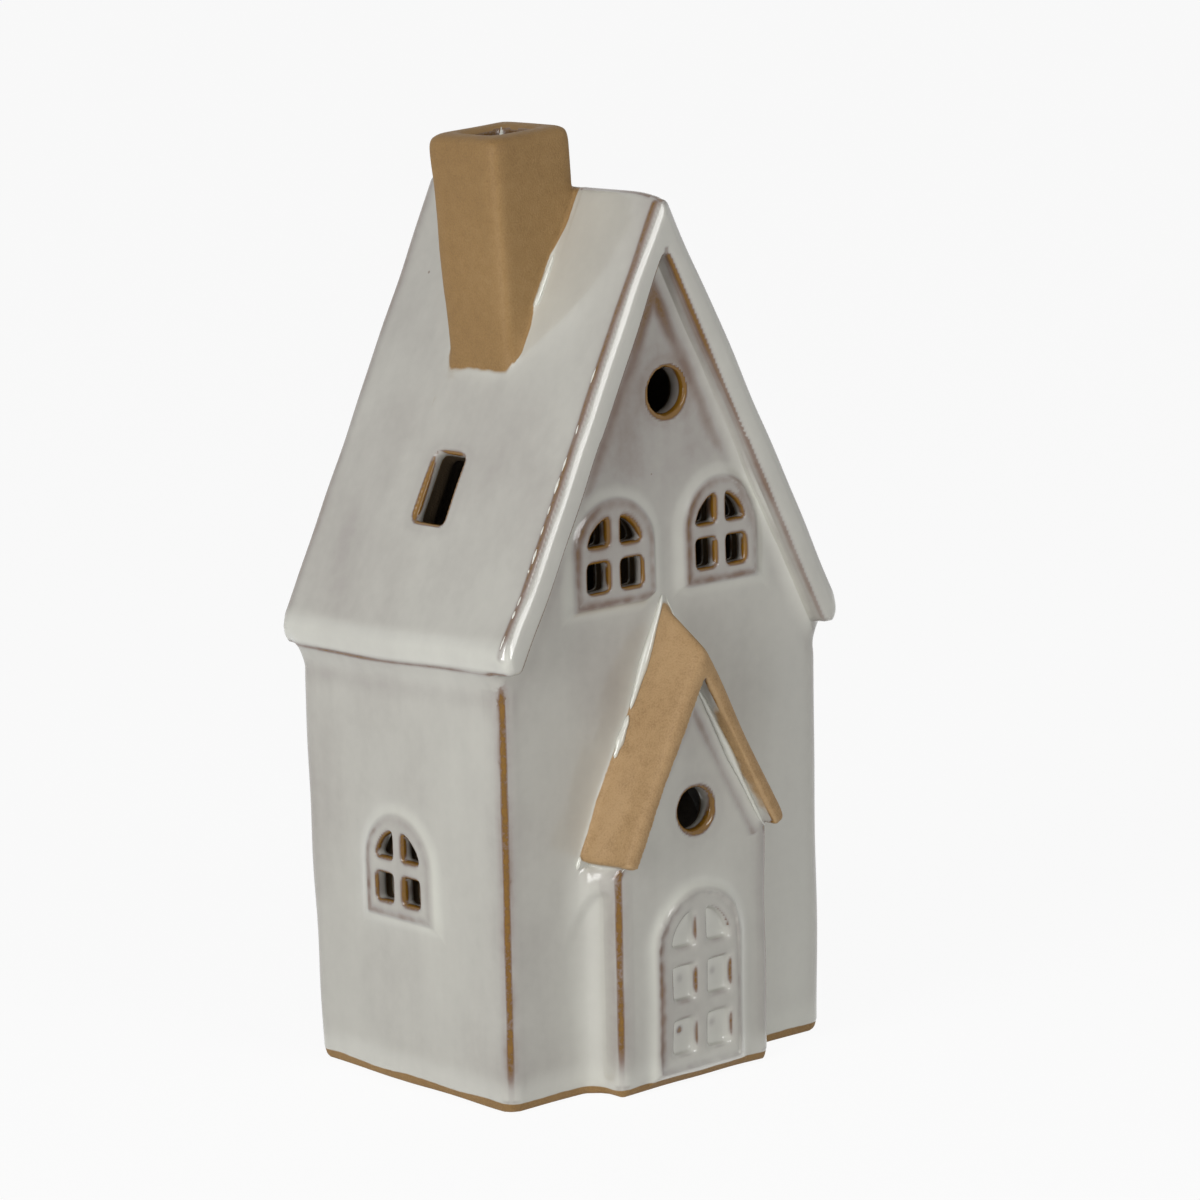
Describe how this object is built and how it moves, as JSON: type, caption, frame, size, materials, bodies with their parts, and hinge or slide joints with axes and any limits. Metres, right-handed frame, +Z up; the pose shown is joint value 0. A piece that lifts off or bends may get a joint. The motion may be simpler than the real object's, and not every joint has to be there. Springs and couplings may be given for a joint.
{
  "type": "tealight house",
  "caption": "Glazed stoneware tealight house with a steep roof, bare clay chimney, gabled porch and pierced arched windows; a tealight slides in at the back.",
  "frame": {"origin": "on the table plane, in the middle of the four walls' footprint, porch left out", "axes": "+Z up, -Y the front with the porch, +X to the right of a person who looks at the front"},
  "size_m": [0.086, 0.0753, 0.183],
  "materials": {
    "glaze": "glossy pale grey reactive glaze",
    "bare_clay": "unglazed tan stoneware",
    "aluminium": "bright pressed foil",
    "wax": "white wax",
    "wick": "waxed cotton",
    "steel": "tinned"
  },
  "bodies": {
    "house": {"floor_slab": "bare_clay", "front_wall": "glaze", "back_wall": "glaze", "left_wall": "glaze", "right_wall": "glaze", "left_roof_slab": "glaze", "right_roof_slab": "glaze", "chimney": "bare_clay", "porch_casing": "glaze", "porch_roof": "bare_clay"},
    "tealight": {"tealight_cup": "aluminium", "tealight_wax": "wax", "tealight_wick": "wick", "wick_sustainer": "steel"}
  },
  "joints": [
    {"name": "tealight_slide", "type": "slide", "parent": "house", "child": "tealight", "axis": [0, 1, 0], "range_m": [0, 0.08]}
  ]
}
